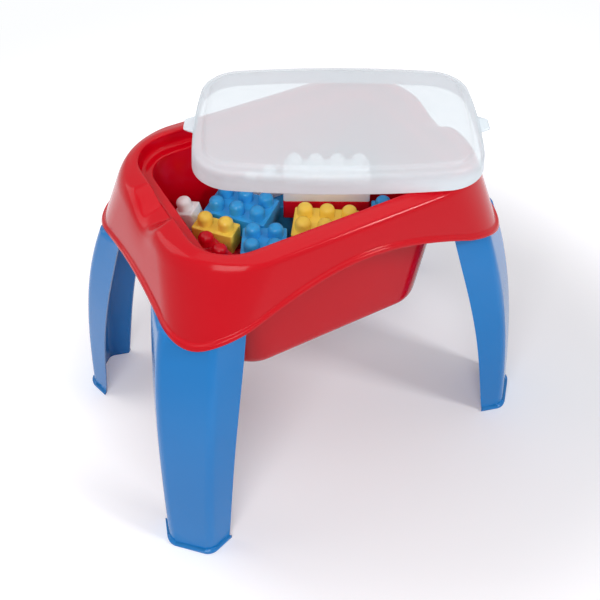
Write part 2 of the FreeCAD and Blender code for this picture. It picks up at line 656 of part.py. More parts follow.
def make_block(columns, rows):
    """Return a building block with its studs, hollow below and with tubes between its studs."""
    body = doc.addObject("PartDesign::Body", f"block_{columns}x{rows}")
    half_length = f"({columns} * block_pitch - block_play) / 2"
    half_width = f"({rows} * block_pitch - block_play) / 2"
    outline = plane_sketch(body, f"outline_{columns}x{rows}", "0")
    draw_rectangle(outline, half_length, half_width)
    full = pad(body, f"shell_{columns}x{rows}", outline, "block_height")

    inner = plane_sketch(body, f"inner_{columns}x{rows}", "block_height - block_wall")
    draw_rectangle(inner, f"{half_length} - block_wall", f"{half_width} - block_wall")
    hollow = body.newObject("PartDesign::Pocket", f"hollow_{columns}x{rows}")
    hollow.Profile = inner
    set_sizes(hollow, Length="block_height")
    doc.recompute()
    if not hollow.Shape.Volume < full.Shape.Volume / 2:
        raise ValueError(f"block {columns}x{rows} is not hollow")

    studs = plane_sketch(body, f"stud_rings_{columns}x{rows}", "block_height - block_wall / 2")
    draw_circles(studs, columns, rows, "stud_diameter")
    pad(body, f"studs_{columns}x{rows}", studs, "stud_height + block_wall / 2")
    if columns > 1:
        tubes = plane_sketch(body, f"tube_rings_{columns}x{rows}", "0")
        if rows > 1:
            wide = "block_pitch * sqrt(2) - stud_diameter - 2 * stud_clearance"
            draw_circles(tubes, columns - 1, rows - 1, wide, f"{wide} - 2 * tube_wall")
        else:
            draw_circles(tubes, columns - 1, 1, "block_pitch - stud_diameter - 2 * stud_clearance")
        pad(body, f"tubes_{columns}x{rows}", tubes, "block_height - block_wall / 2")
    crown = size("block_height + stud_height")
    base = body.Tip
    chamfer = body.newObject("PartDesign::Chamfer", f"crowns_{columns}x{rows}")
    chamfer.Base = (base, [f"Edge{number}" for number, edge in enumerate(base.Shape.Edges, start=1)
                           if abs(edge.BoundBox.ZMin - crown) < 1e-3])
    set_sizes(chamfer, Size="stud_chamfer")
    doc.recompute()
    return body


FLOOR = "tub_floor + seat_gap"
DECK = f"{FLOOR} + 4 * block_pitch - block_play + seat_gap"


def place_block(label, kind, x, y, rest, turn, tilt=0, heading=0):
    """Return one block as a sub-part: turned about its upright axis, tilted towards a heading, then set down.

    Args: the block's name, its columns and rows, its place, the height it rests on, and three angles.
    """
    source = BLOCKS[kind]
    block = doc.addObject("Part::Feature", label)
    block.Label = label
    lean_axis = Vector(-math.sin(math.radians(heading)), math.cos(math.radians(heading)), 0)
    pose = FreeCAD.Rotation(lean_axis, tilt).multiply(FreeCAD.Rotation(UP, turn))
    shape = source.Shape.copy()
    middle = Vector(0, 0, size("block_height") / 2)
    shape.Placement = FreeCAD.Placement(Vector(0, 0, 0), pose)
    lowest = shape.optimalBoundingBox().ZMin
    centre = pose.multVec(middle)
    place = Vector(size(x) - centre.x, size(y) - centre.y, size(rest) - lowest)
    block.Shape = source.Shape.copy()
    block.Placement = FreeCAD.Placement(place, pose)
    return block


KINDS = [(1, 1), (2, 1), (2, 2), (3, 2), (4, 1), (4, 2)]


def make_standing_blocks():
    """Return the long blocks that stand on end on the tub's floor and carry the rest of the pile."""
    standing = [
        ("red_standing_block", -3.46, 0.1, 0),
        ("blue_standing_block", -1.73, 0, 90),
        ("yellow_standing_block", 0.31, -1.48, 0),
        ("blue_back_standing_block", 0.31, 2.16, 0),
        ("white_standing_block", 3.38, -0.85, 0),
    ]
    blocks = []
    for label, x, y, turn in standing:
        along = f"{x} * block_pitch - stud_height / 2" if turn == 0 else f"{x} * block_pitch"
        across = f"{y} * block_pitch" if turn == 0 else f"{y} * block_pitch - stud_height / 2"
        blocks.append(place_block(label, (4, 1), along, across, FLOOR, turn, 90, turn))
    return blocks


def make_loose_blocks():
    """Return the loose blocks that lie on the standing ones, as they fell."""
    plugged = f"{DECK} + block_height + seat_gap"
    loose = [
        ("white_single_block", (1, 1), -4.384, 2.536, DECK, -50, 14, 140),
        ("yellow_double_block", (2, 1), -3.764, 0.966, DECK, -50),
        ("red_double_block", (2, 1), -4.518, -0.386, DECK, -80),
        ("blue_square_block", (2, 2), -2.404, -1.076, DECK, -30),
        ("blue_six_stud_block", (3, 2), -2.134, 1.656, DECK, -50),
        ("yellow_six_stud_block", (3, 2), 0.634, -1.276, DECK, -35),
        ("red_long_block", (4, 2), 1.884, 0.836, DECK, -29.8),
        ("white_long_block", (4, 2), 1.884, 0.836, plugged, -29.8),
        ("blue_double_block", (2, 1), 3.864, -1.856, DECK, -29.8),
        ("white_double_block", (2, 1), -0.496, 2.966, DECK, 0),
    ]
    return [place_block(label, kind, f"{x} * block_pitch", f"{y} * block_pitch", *lie)
            for label, kind, x, y, *lie in loose]


table_top = make_table_top()
legs = make_legs()
lid = make_lid()
doc.recompute()
BLOCKS = {kind: make_block(*kind) for kind in KINDS}
pile = [*make_standing_blocks(), *make_loose_blocks()]
doc.recompute()

# Every object has to be sound before anything is written
for item in doc.Objects:
    if "Invalid" in item.State or "Error" in item.State:
        raise RuntimeError(f"{item.Name} failed: {item.State}")
os.makedirs("parts", exist_ok=True)
for part in [table_top, *legs, lid, *pile]:
    if part.Shape.isNull() or not part.Shape.isValid():
        raise RuntimeError(f"{part.Label} is not a sound solid")
    part.Shape.exportStep(f"parts/{part.Label}.step")
    print(part.Label, len(part.Shape.Solids), round(part.Shape.Volume))
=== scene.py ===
"""Building block table: the looks of its moulded top, channel legs, milky lid and studded blocks.

Sizes are in metres and angles in degrees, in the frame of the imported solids.
"""

import json
import logging
import math
from dataclasses import dataclass
from enum import Enum
from typing import Any, Sequence

import bmesh
import bpy
from mathutils import Matrix, Vector

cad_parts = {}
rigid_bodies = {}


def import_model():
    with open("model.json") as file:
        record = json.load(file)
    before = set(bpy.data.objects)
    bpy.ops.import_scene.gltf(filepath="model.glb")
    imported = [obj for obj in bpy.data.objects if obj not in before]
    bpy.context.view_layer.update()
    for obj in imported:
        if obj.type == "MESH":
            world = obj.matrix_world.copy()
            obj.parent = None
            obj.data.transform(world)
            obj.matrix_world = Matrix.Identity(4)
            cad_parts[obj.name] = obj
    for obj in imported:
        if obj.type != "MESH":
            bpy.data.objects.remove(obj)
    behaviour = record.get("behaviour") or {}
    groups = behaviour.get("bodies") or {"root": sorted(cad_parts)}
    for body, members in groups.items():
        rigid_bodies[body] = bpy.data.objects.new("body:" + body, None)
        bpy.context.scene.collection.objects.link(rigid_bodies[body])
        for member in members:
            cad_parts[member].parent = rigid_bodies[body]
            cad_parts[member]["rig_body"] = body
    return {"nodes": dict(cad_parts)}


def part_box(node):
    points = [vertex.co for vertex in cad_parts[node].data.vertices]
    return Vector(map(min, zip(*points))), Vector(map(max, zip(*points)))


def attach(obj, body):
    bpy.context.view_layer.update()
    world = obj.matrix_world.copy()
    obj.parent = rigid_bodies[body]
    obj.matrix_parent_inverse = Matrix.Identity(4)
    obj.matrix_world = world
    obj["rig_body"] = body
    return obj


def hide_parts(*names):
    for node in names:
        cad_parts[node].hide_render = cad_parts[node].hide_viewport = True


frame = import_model()
log = logging.getLogger("block_table")

# The attribute that marks the lid's skirt, and the kinds of rays that show room and far floor as white
SKIRT_LAYER = "skirt"
SHOWN_RAYS = ("Is Camera Ray", "Is Glossy Ray", "Is Transmission Ray")
# The mean of a noise, and the distance within which points count as one
NOISE_MIDDLE = 0.5
WELD = 1e-6
# How often a corner's centre is worked out again, and the share of a stretch that a rounding may take
SETTLING_ROUNDS = 40
ROUNDING_LIMIT = 0.48
Colour = tuple[float, float, float, float]


def paint(red: int, green: int, blue: int) -> Colour:
    """Turn a screen colour into a linear one.

    Args:
        red: red from 0 to 255.
        green: green from 0 to 255.
        blue: blue from 0 to 255.

    Returns:
        The colour as a shader takes it.
    """
    def linear(channel: int) -> float:
        """Return one channel without its screen curve."""
        share = channel / 255
        return share / 12.92 if share <= 0.04045 else ((share + 0.055) / 1.055) ** 2.4

    return linear(red), linear(green), linear(blue), 1.0


def ease(low: float, high: float, value: float) -> float:
    """Return a smooth step from 0 to 1 between two limits."""
    share = min(max((value - low) / (high - low), 0.0), 1.0)
    return share * share * (3 - 2 * share)


# Shader nodes


class Amount:
    """A number that varies over a surface: a node's socket with arithmetic that adds Math nodes."""

    def __init__(self, graph: "Graph", socket: bpy.types.NodeSocket) -> None:
        """Wrap a socket of a graph."""
        self.graph = graph
        self.socket = socket

    def _math(self, operation: str, first: Any, second: Any) -> "Amount":
        """Add one Math node.

        Args:
            operation: the node's operation.
            first: its first value or link.
            second: its second value or link.

        Returns:
            The node's result.
        """
        node = self.graph.node("ShaderNodeMath", {"operation": operation}, {0: first, 1: second})
        return Amount(self.graph, node.outputs[0])

    def __add__(self, other: Any) -> "Amount":
        """Return the sum."""
        return self._math("ADD", self, other)

    def __radd__(self, other: Any) -> "Amount":
        """Return the sum."""
        return self._math("ADD", other, self)

    def __sub__(self, other: Any) -> "Amount":
        """Return the difference."""
        return self._math("SUBTRACT", self, other)

    def __rsub__(self, other: Any) -> "Amount":
        """Return the difference, taken from the other."""
        return self._math("SUBTRACT", other, self)

    def __mul__(self, other: Any) -> "Amount":
        """Return the product."""
        return self._math("MULTIPLY", self, other)

    def __rmul__(self, other: Any) -> "Amount":
        """Return the product."""
        return self._math("MULTIPLY", other, self)

    def swing(self, spread: float) -> "Amount":
        """Return a noise as a swing about zero, over a spread."""
        return (self - NOISE_MIDDLE) * spread


class Graph:
    """The node tree of one material, or of the room around the object, filled by calls."""

    def __init__(self, owner: bpy.types.Material | bpy.types.World) -> None:
        """Start with an empty tree.

        Args:
            owner: the new material or room.
        """
        owner.use_nodes = True
        self.owner = owner
        self.tree = owner.node_tree
        self.tree.nodes.clear()

    def node(self, kind: str, settings: dict[str, Any] | None = None,
             sockets: dict[Any, Any] | None = None) -> bpy.types.Node:
        """Add a node.

        Args:
            kind: the node's type.
            settings: its properties, set first.
            sockets: values or links by the socket's name or number.

        Returns:
            The node.
        """
        node = self.tree.nodes.new(kind)
        for key, value in (settings or {}).items():
            setattr(node, key, value)
        for key, value in (sockets or {}).items():
            source = value.socket if isinstance(value, Amount) else value
            if isinstance(source, bpy.types.NodeSocket):
                self.tree.links.new(source, node.inputs[key])
            else:
                node.inputs[key].default_value = source
        return node

    def place(self) -> bpy.types.NodeSocket:
        """Return the object coordinates."""
        return self.node("ShaderNodeTexCoord").outputs["Object"]

    def noise(self, scale: float, detail: float = 2.0, distortion: float = 0.0) -> Amount:
        """Add a noise over the object's coordinates.

        Args:
            scale: how many blobs lie in a metre.
            detail: its finer layers.
            distortion: how far it swirls.

        Returns:
            The noise, around a half.
        """
        sockets = {"Vector": self.place(), "Scale": scale, "Detail": detail, "Distortion": distortion}
        return Amount(self, self.node("ShaderNodeTexNoise", None, sockets).outputs["Fac"])

    def mix(self, share: Amount, low: Any, high: Any) -> bpy.types.NodeSocket:
        """Mix two colours.

        Args:
            share: the part of the second one.
            low: the first colour.
            high: the second colour.

        Returns:
            The mixed colour.
        """
        # Inputs 6 and 7 and output 2 are the ones for colours
        node = self.node("ShaderNodeMix", {"data_type": "RGBA"}, {"Factor": share, 6: low, 7: high})
        return node.outputs[2]

    def bump(self, height: Amount, strength: float, depth: float) -> bpy.types.NodeSocket:
        """Add a bump.

        Args:
            height: the relief.
            strength: how strongly it shows.
            depth: its depth in metres.

        Returns:
            The normal.
        """
        node = self.node("ShaderNodeBump", None, {"Height": height, "Strength": strength, "Distance": depth})
        return node.outputs[0]

    def ray(self, *kinds: str) -> Amount:
        """Tell whether a ray of light is of certain kinds.

        Args:
            kinds: the kinds, as the Light Path node names them. Nothing here refracts, so a ray is of one
                of them at most.

        Returns:
            1 for such a ray, otherwise 0.
        """
        path = self.node("ShaderNodeLightPath")
        return sum(Amount(self, path.outputs[kind]) for kind in kinds)

    def finish(self, shader: bpy.types.Node) -> bpy.types.Material | bpy.types.World:
        """Send a shader to the output.

        Args:
            shader: the shader's node.

        Returns:
            The material or room.
        """
        outside = isinstance(self.owner, bpy.types.World)
        kind = "ShaderNodeOutputWorld" if outside else "ShaderNodeOutputMaterial"
        self.node(kind, None, {"Surface": shader.outputs[0]})
        return self.owner


# Finishes


@dataclass(frozen=True)
class MouldedPlastic:
    """Coloured plastic from a polished mould: soft gloss, faint flow clouds and a very fine grain."""

    name: str
    slot: str
    colour: Colour
    deep: Colour
    roughness: float = 0.15
    shine: float = 0.28
    refraction: float = 1.5
    cloud_scale: float = 7.0
    cloud_detail: float = 3.0
    cloud_swirl: float = 0.6
    rub_scale: float = 28.0
    rub_spread: float = 0.1
    grain_scale: float = 420.0
    grain_spread: float = 0.04
    grain_strength: float = 0.05
    grain_depth: float = 0.00004

    def material(self) -> bpy.types.Material:
        """Build the material.

        Returns:
            The material.
        """
        graph = Graph(bpy.data.materials.new(self.name))
        cloud = graph.noise(self.cloud_scale, self.cloud_detail, self.cloud_swirl)
        grain = graph.noise(self.grain_scale)
        rub = graph.noise(self.rub_scale)
        shader = graph.node("ShaderNodeBsdfPrincipled", None, {
            "Base Color": graph.mix(cloud, self.colour, self.deep),
            "Roughness": self.roughness + rub.swing(self.rub_spread) + grain.swing(self.grain_spread),
            "Normal": graph.bump(grain, self.grain_strength, self.grain_depth),
            "Specular IOR Level": self.shine,
            "IOR": self.refraction,
        })
        return graph.finish(shader)


@dataclass(frozen=True)
class MilkyPlastic:
    """Soft see-through plastic: what lies behind it shows as a pale shape, and most light passes it."""

    name: str
    slot: str
    colour: Colour
    veil: Colour
    cover: float = 0.51
    cover_spread: float = 0.06
    skirt_cover: float = 0.33
    passed: float = 0.7
    roughness: float = 0.32
    shine: float = 0.3
    refraction: float = 1.5
    cloud_scale: float = 6.0
    cloud_detail: float = 3.0
    cloud_swirl: float = 0.4
    grain_scale: float = 420.0
    grain_spread: float = 0.12
    grain_strength: float = 0.05
    grain_depth: float = 0.00005

    def material(self) -> bpy.types.Material:
        """Build the material, which covers more where the lid's skirt is marked.

        Returns:
            The material.
        """
        graph = Graph(bpy.data.materials.new(self.name))
        cloud = graph.noise(self.cloud_scale, self.cloud_detail, self.cloud_swirl)
        grain = graph.noise(self.grain_scale)
        layer = graph.node("ShaderNodeAttribute", {"attribute_name": SKIRT_LAYER})
        skirt = Amount(graph, layer.outputs["Fac"])
        shade = 1 - graph.ray("Is Shadow Ray") * self.passed
        shader = graph.node("ShaderNodeBsdfPrincipled", None, {
            "Base Color": graph.mix(cloud, self.colour, self.veil),
            "Roughness": self.roughness + grain.swing(self.grain_spread),
            "Alpha": (skirt * self.skirt_cover + self.cover + cloud.swing(self.cover_spread)) * shade,
            "Normal": graph.bump(grain, self.grain_strength, self.grain_depth),
            "Specular IOR Level": self.shine,
            "IOR": self.refraction,
        })
        return graph.finish(shader)


class Finish(Enum):
    """The finishes of the object's pieces."""

    TOP = MouldedPlastic("red_moulded_top", "top_plastic", paint(208, 0, 24), paint(197, 0, 20), shine=0.2)
    LEG = MouldedPlastic("blue_moulded_leg", "leg_plastic", paint(26, 129, 203), paint(20, 117, 191))
    LID = MilkyPlastic("milky_lid", "lid_plastic", paint(233, 241, 246), paint(227, 236, 242))
    RED = MouldedPlastic("red_block", "block_red", paint(218, 16, 36), paint(204, 8, 30))
    BLUE = MouldedPlastic("blue_block", "block_blue", paint(60, 170, 236), paint(48, 158, 226))
    YELLOW = MouldedPlastic("yellow_block", "block_yellow", paint(255, 224, 98), paint(252, 214, 78))
    WHITE = MouldedPlastic("white_block", "block_white", paint(250, 252, 253), paint(243, 246, 248))


class Palette:
    """Materials made once and shared."""

    def __init__(self) -> None:
        """Start with no material."""
        self.made: dict[Finish, bpy.types.Material] = {}

    def material(self, finish: Finish) -> bpy.types.Material:
        """Make a finish's material, or find it.

        Args:
            finish: the finish.

        Returns:
            The material.
        """
        if finish not in self.made:
            self.made[finish] = finish.value.material()
        return self.made[finish]


# Meshes


def add_object(name: str, mesh: bpy.types.Mesh) -> bpy.types.Object:
    """Link a mesh into the scene.

    Args:
        name: the object's name.
        mesh: its mesh.

    Returns:
        The object.
    """
    piece = bpy.data.objects.new(name, mesh)
    bpy.context.scene.collection.objects.link(piece)
    return piece


def mesh_of(form: bmesh.types.BMesh, name: str) -> bpy.types.Mesh:
    """Turn a form that is finished into a mesh.

    Args:
        form: the form, which is given up.
        name: the mesh's name.

    Returns:
        The mesh.
    """
    mesh = bpy.data.meshes.new(name)
    form.to_mesh(mesh)
    form.free()
    return mesh


def smooth(mesh: bpy.types.Mesh, angle: float) -> None:
    """Shade a mesh smooth, apart from edges sharper than an angle."""
    mesh.shade_smooth()
    mesh.set_sharp_from_angle(angle=math.radians(angle))


def seat(piece: bpy.types.Object, node: str, finish: Finish, palette: Palette) -> bpy.types.Object:
    """Dress a piece and let it stand for a node.

    Args:
        piece: the piece.
        node: the node it stands for, which also names the body it moves with.
        finish: its finish.
        palette: the materials.

    Returns:
        The piece.
    """
    piece.data.materials.clear()
    piece.data.materials.append(palette.material(finish))
    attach(piece, frame["nodes"][node]["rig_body"])
    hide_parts(node)
    log.info("%s: %d faces on %s", piece.name, len(piece.data.polygons), node)
    return piece


@dataclass(frozen=True)
class Steps:
    """How finely an outline is divided along its long sides, its ends and each corner."""

    side: int
    end: int
    corner: int


@dataclass(frozen=True)
class Outline:
    """A level outline: a rectangle with round corners, whose sides may bow outwards on large radii."""

    half_length: float
    half_width: float
    corner: float
    side_bow: float = 1000.0
    end_bow: float = 1000.0

    def grown(self, by: float) -> "Outline":
        """Return the outline moved outwards all round."""
        return Outline(self.half_length + by, self.half_width + by, self.corner + by, self.side_bow + by,
                       self.end_bow + by)

    def points(self, steps: Steps, height: float = 0.0) -> list[Vector]:
        """Walk round the outline from the left end of the front side.

        Args:
            steps: how finely the sides, ends and corners are divided.
            height: the height of the points.

        Returns:
            The points, without the first one again.
        """
        side, end, round_by = self.side_bow, self.end_bow, self.corner
        corner_x, corner_y = self.half_length - round_by, self.half_width - round_by
        for _ in range(SETTLING_ROUNDS):
            corner_y = self.half_width - side + math.sqrt((side - round_by) ** 2 - corner_x ** 2)
            corner_x = self.half_length - end + math.sqrt((end - round_by) ** 2 - corner_y ** 2)
        lean = math.asin(corner_x / (side - round_by))
        turn = math.asin(corner_y / (end - round_by))
        quarter = math.pi / 2
        arcs = []
        for half in (0, 1):
            spin = math.pi * half
            sign = 1 - 2 * half
            front, back = spin - quarter, spin + quarter
            arcs += [
                (0.0, sign * (side - self.half_width), side, front - lean, front + lean, steps.side),
                (sign * corner_x, -sign * corner_y, round_by, front + lean, spin - turn, steps.corner),
                (sign * (self.half_length - end), 0.0, end, spin - turn, spin + turn, steps.end),
                (sign * corner_x, sign * corner_y, round_by, spin + turn, back - lean, steps.corner),
            ]
        walk = []
        for x, y, radius, start, stop, count in arcs:
            for step in range(count):
                angle = start + (stop - start) * step / count
                walk.append(Vector((x + radius * math.cos(angle), y + radius * math.sin(angle), height)))
        return walk


@dataclass(frozen=True)
class Knee:
    """One bend in a wall's profile: a ring of points, how far its rounding reaches, and its rows of faces."""

    ring: list[Vector]
    reach: float | list[float] = 0.0
    bends: int = 0
    rows: int = 1

    def reach_at(self, index: int) -> float:
        """Return the reach of the rounding at one point of the ring."""
        return self.reach[index] if isinstance(self.reach, list) else self.reach


def sweep_profile(knees: Sequence[Knee]) -> list[list[Vector]]:
    """Lay rows of points through a profile's knees, rounded at each one.

    Args:
        knees: the knees from one end of the profile to the other, with as many points in each ring.

    Returns:
        The rows of points.
    """
    columns = []
    for index in range(len(knees[0].ring)):
        spots = [knee.ring[index] for knee in knees]
        column: list[Vector] = []
        for number, knee in enumerate(knees):
            spot = spots[number]
            first_or_last = number in (0, len(knees) - 1)
            bend = [spot]
            if knee.bends and not first_or_last:
                back, ahead = spots[number - 1] - spot, spots[number + 1] - spot
                reach = knee.reach_at(index)
                start = spot + back.normalized() * min(reach, back.length * ROUNDING_LIMIT)
                stop = spot + ahead.normalized() * min(reach, ahead.length * ROUNDING_LIMIT)
                bend = [start.lerp(spot, t).lerp(spot.lerp(stop, t), t)
                        for t in (step / knee.bends for step in range(knee.bends + 1))]
            if column:
                rows = knees[number - 1].rows
                column += [column[-1].lerp(bend[0], step / rows) for step in range(1, rows)]
            column += bend
        columns.append(column)
    return [list(row) for row in zip(*columns)]


def skin_rows(name: str, rows: Sequence[Sequence[Vector]]) -> bpy.types.Mesh:
    """Make a closed skin over rows of points, with a centre point closing each end.

    Args:
        name: the mesh's name.
        rows: rings of points, each as long as the next.

    Returns:
        The mesh, with its faces outwards.
    """
    form = bmesh.new()
    rings = [[form.verts.new(spot) for spot in row] for row in rows]
    count = len(rings[0])
    for low, high in zip(rings, rings[1:]):
        for index in range(count):
            after = (index + 1) % count
            form.faces.new((low[index], low[after], high[after], high[index]))
    for ring in (rings[0], rings[-1]):
        middle = form.verts.new(sum((vert.co for vert in ring), Vector()) / count)
        for index in range(count):
            form.faces.new((ring[index], ring[(index + 1) % count], middle))
    bmesh.ops.remove_doubles(form, verts=form.verts, dist=WELD)
    bmesh.ops.recalc_face_normals(form, faces=form.faces)
    return mesh_of(form, name)


# The table top


@dataclass(frozen=True)
class TableTop:
    """The red moulding: tub, ledge, crest, fold, arched skirt with a rolled lip, and two scoops."""

    rim_height: float = 0.387
    wall: float = 0.003
    opening: Outline = Outline(0.157, 0.107, 0.048)
    crest_width: float = 0.006
    crest_inner_round: float = 0.0028
    crest_outer_round: float = 0.003
    fold_drop: float = 0.004
    fold: Outline = Outline(0.183, 0.1275, 0.088)
    fold_tight: float = 0.0055
    fold_soft: float = 0.016
    fold_tightens: float = 0.85
    fold_inner_round: float = 0.004
    skirt_base: float = 0.285
    skirt: Outline = Outline(0.206, 0.147, 0.057)
    arch_long: float = 0.348
    arch_short: float = 0.314
    arch_corner: float = 0.290
    arch_blend: float = 0.010
    lip_height: float = 0.005
    lip_proud: float = 0.003
    lip_slope: float = 0.0016
    lip_root_round: float = 0.0012
    lip_top_round: float = 0.0014
    lip_foot_round: float = 0.0018
    lip_inner_round: float = 0.001
    ledge_drop: float = 0.017
    ledge_width: float = 0.013
    ledge_round: float = 0.006
    ledge_edge_round: float = 0.002
    inner_round: float = 0.002
    tub_floor: float = 0.186
    tub_foot: Outline = Outline(0.1274, 0.0832, 0.040)
    foot_round: float = 0.014
    floor_inset: float = 0.03
    scoop_width: float = 0.042
    scoop_depth: float = 0.011
    scoop_fall: float = 0.24
    scoop_front: float = 0.0075
    scoop_back: float = 0.014
    scoop_blend: float = 0.006
    scoop_spread: float = 0.7
    scoop_overlap: float = 0.001
    scoop_clears_arch: float = 0.02
    sharp_angle: float = 50.0
    steps: Steps = Steps(72, 110, 20)

    def arch_height(self, crown: float, span: float, along: float) -> float:
        """Follow one of the skirt's round arches.

        Args:
            crown: the height of the arch at its middle.
            span: how far it reaches from its middle to a corner.
            along: the distance from its middle.

        Returns:
            The height at that distance.
        """
        rise = crown - self.arch_corner
        radius = (span ** 2 + rise ** 2) / (2 * rise)
        return crown - radius + math.sqrt(radius ** 2 - min(abs(along), span) ** 2)

    def edge_height(self, spot: Vector) -> float:
        """Find the skirt's edge beside a point: the higher of the two arches, blended at the corners.

        Args:
            spot: the point.

        Returns:
            The height of the edge.
        """
        side = self.arch_height(self.arch_long, self.skirt.half_length + self.wall, spot.x)
        end = self.arch_height(self.arch_short, self.skirt.half_width + self.wall, spot.y)
        over = max(self.arch_blend - abs(side - end), 0.0)
        return max(side, end) + over * over / (4 * self.arch_blend)

    def skirt_ring(self, rise: float, out: float) -> list[Vector]:
        """Lay a ring of points round the skirt, along its edge.

        Args:
            rise: how far the ring lies above the edge.
            out: how far it lies outside the skirt.

        Returns:
            The points.
        """
        top = self.rim_height - self.fold_drop
        high = self.fold.grown(out).points(self.steps)
        low = self.skirt.grown(out).points(self.steps)
        ring = []
        for first, second, beside in zip(high, low, self.skirt.points(self.steps)):
            height = self.edge_height(beside) + rise
            spot = first.lerp(second, (top - height) / (top - self.skirt_base))
            spot.z = height
            ring.append(spot)
        return ring

    def fold_reach(self) -> list[float]:
        """Work out the fold's rounding: tight along the long sides, soft at the ends and corners.

        Returns:
            The reach of the rounding at each point of the fold.
        """
        walk = self.fold.points(self.steps)
        reach = []
        for before, after in zip(walk[-1:] + walk, walk[1:] + walk[:1]):
            way = (after - before).normalized()
            tight = ease(self.fold_tightens, 1.0, abs(way.x))
            reach.append(self.fold_soft + (self.fold_tight - self.fold_soft) * tight)
        return reach

    def outer_knees(self) -> list[Knee]:
        """Lay out the profile from the tub's floor over the rim to the skirt's lip.

        Returns:
            The knees of the upper and outer side.
        """
        steps, rim = self.steps, self.rim_height
        ledge, tub_head = rim - self.ledge_drop, self.opening.grown(-self.ledge_width)
        crest = self.opening.grown(self.crest_width)
        return [
            Knee(self.tub_foot.grown(-self.floor_inset).points(steps, self.tub_floor), rows=2),
            Knee(self.tub_foot.points(steps, self.tub_floor), self.foot_round, bends=8, rows=8),
            Knee(tub_head.points(steps, ledge), self.ledge_edge_round, bends=4, rows=2),
            Knee(self.opening.points(steps, ledge), self.ledge_round, bends=6, rows=3),
            Knee(self.opening.points(steps, rim), self.crest_inner_round, bends=5, rows=2),
            Knee(crest.points(steps, rim), self.crest_outer_round, bends=4, rows=14),
            Knee(self.fold.points(steps, rim - self.fold_drop), self.fold_reach(), bends=10, rows=30),
            Knee(self.skirt_ring(self.lip_height + self.lip_slope, 0.0), self.lip_root_round, bends=3),
            Knee(self.skirt_ring(self.lip_height, self.lip_proud), self.lip_top_round, bends=4),
            Knee(self.skirt_ring(0.0, self.lip_proud), self.lip_foot_round, bends=4),
        ]

    def inner_knees(self) -> list[Knee]:
        """Lay out the profile from the lip's inside, up under the rim and down below the tub's floor.

        Returns:
            The knees of the lower and inner side.
        """
        steps, wall = self.steps, self.wall
        rim, fold_height = self.rim_height - wall, self.rim_height - self.fold_drop - wall
        ledge, tub_head = self.rim_height - self.ledge_drop - wall, self.opening.grown(-self.ledge_width)
        floor = self.tub_floor - wall
        opening = self.opening.grown(wall)
        return [
            Knee(self.skirt_ring(0.0, -wall), self.lip_inner_round, bends=3, rows=10),
            Knee(self.fold.grown(-wall).points(steps, fold_height), self.fold_inner_round, bends=4, rows=3),
            Knee(opening.points(steps, rim), self.inner_round, bends=3, rows=2),
            Knee(opening.points(steps, ledge), self.inner_round, bends=3, rows=2),
            Knee(tub_head.grown(wall).points(steps, ledge), self.inner_round, bends=3, rows=8),
            Knee(self.tub_foot.grown(wall).points(steps, floor), self.foot_round + wall, bends=9, rows=2),
            Knee(self.tub_foot.grown(-self.floor_inset).points(steps, floor)),
        ]

    def scooped(self, spot: Vector, wall: float) -> Vector:
        """Lower a point of the rim where a scoop for the lid's ear cuts through the crest.

        Args:
            spot: the point.
            wall: how far the surface lies under the outside.

        Returns:
            The point, in its new place.
        """
        outer = abs(spot.x) - self.opening.half_length + self.scoop_overlap
        if outer < 0 or spot.z < self.arch_short + self.scoop_clears_arch:
            return spot
        half = self.scoop_width / 2 + wall
        edge = (self.scoop_front if spot.y < 0 else self.scoop_back) + self.scoop_spread / 2 * outer
        share = 1 - ease(half - edge, half + edge, abs(spot.y))
        floor = self.rim_height - self.scoop_depth - self.scoop_fall * outer - wall
        blend = self.scoop_blend + self.scoop_spread * outer
        over = max(blend - abs(spot.z - floor), 0.0)
        lowered = min(spot.z, floor) - over * over / (4 * blend)
        return Vector((spot.x, spot.y, spot.z + (lowered - spot.z) * share))

    def build(self, palette: Palette) -> bpy.types.Object:
        """Build the table top.

        Args:
            palette: the materials.

        Returns:
            The table top.
        """
        outer, inner = self.outer_knees(), self.inner_knees()
        outer_rows = sum(knee.bends + knee.rows for knee in outer)
        rows = []
        for number, row in enumerate(sweep_profile(outer + inner)):
            wall = 0.0 if number < outer_rows else self.wall
            rows.append([self.scooped(spot, wall) for spot in row])
        mesh = skin_rows("table_top_form", rows)
        smooth(mesh, self.sharp_angle)
        return seat(add_object("table_top_moulding", mesh), "table_top", Finish.TOP, palette)


# The legs


@dataclass(frozen=True)
class Legs:
    """The four blue channel legs, smoothed over the solids' own curves."""

    nodes: tuple[str, ...] = ("leg_front_left", "leg_front_right", "leg_back_left", "leg_back_right")
    sharp_angle: float = 32.0
    weld: float = 0.00002

    def build(self, palette: Palette) -> list[bpy.types.Object]:
        """Build the legs.

        Args:
            palette: the materials.

        Returns:
            The legs.
        """
        pieces = []
        for node in self.nodes:
            form = bmesh.new()
            form.from_mesh(frame["nodes"][node].data)
            bmesh.ops.remove_doubles(form, verts=form.verts, dist=self.weld)
            mesh = mesh_of(form, f"{node}_form")
            smooth(mesh, self.sharp_angle)
            piece = add_object(f"{node}_moulding", mesh)
            weighted = piece.modifiers.new("even_shading", "WEIGHTED_NORMAL")
            weighted.keep_sharp = True
            pieces.append(seat(piece, node, Finish.LEG, palette))
        return pieces


# The lid


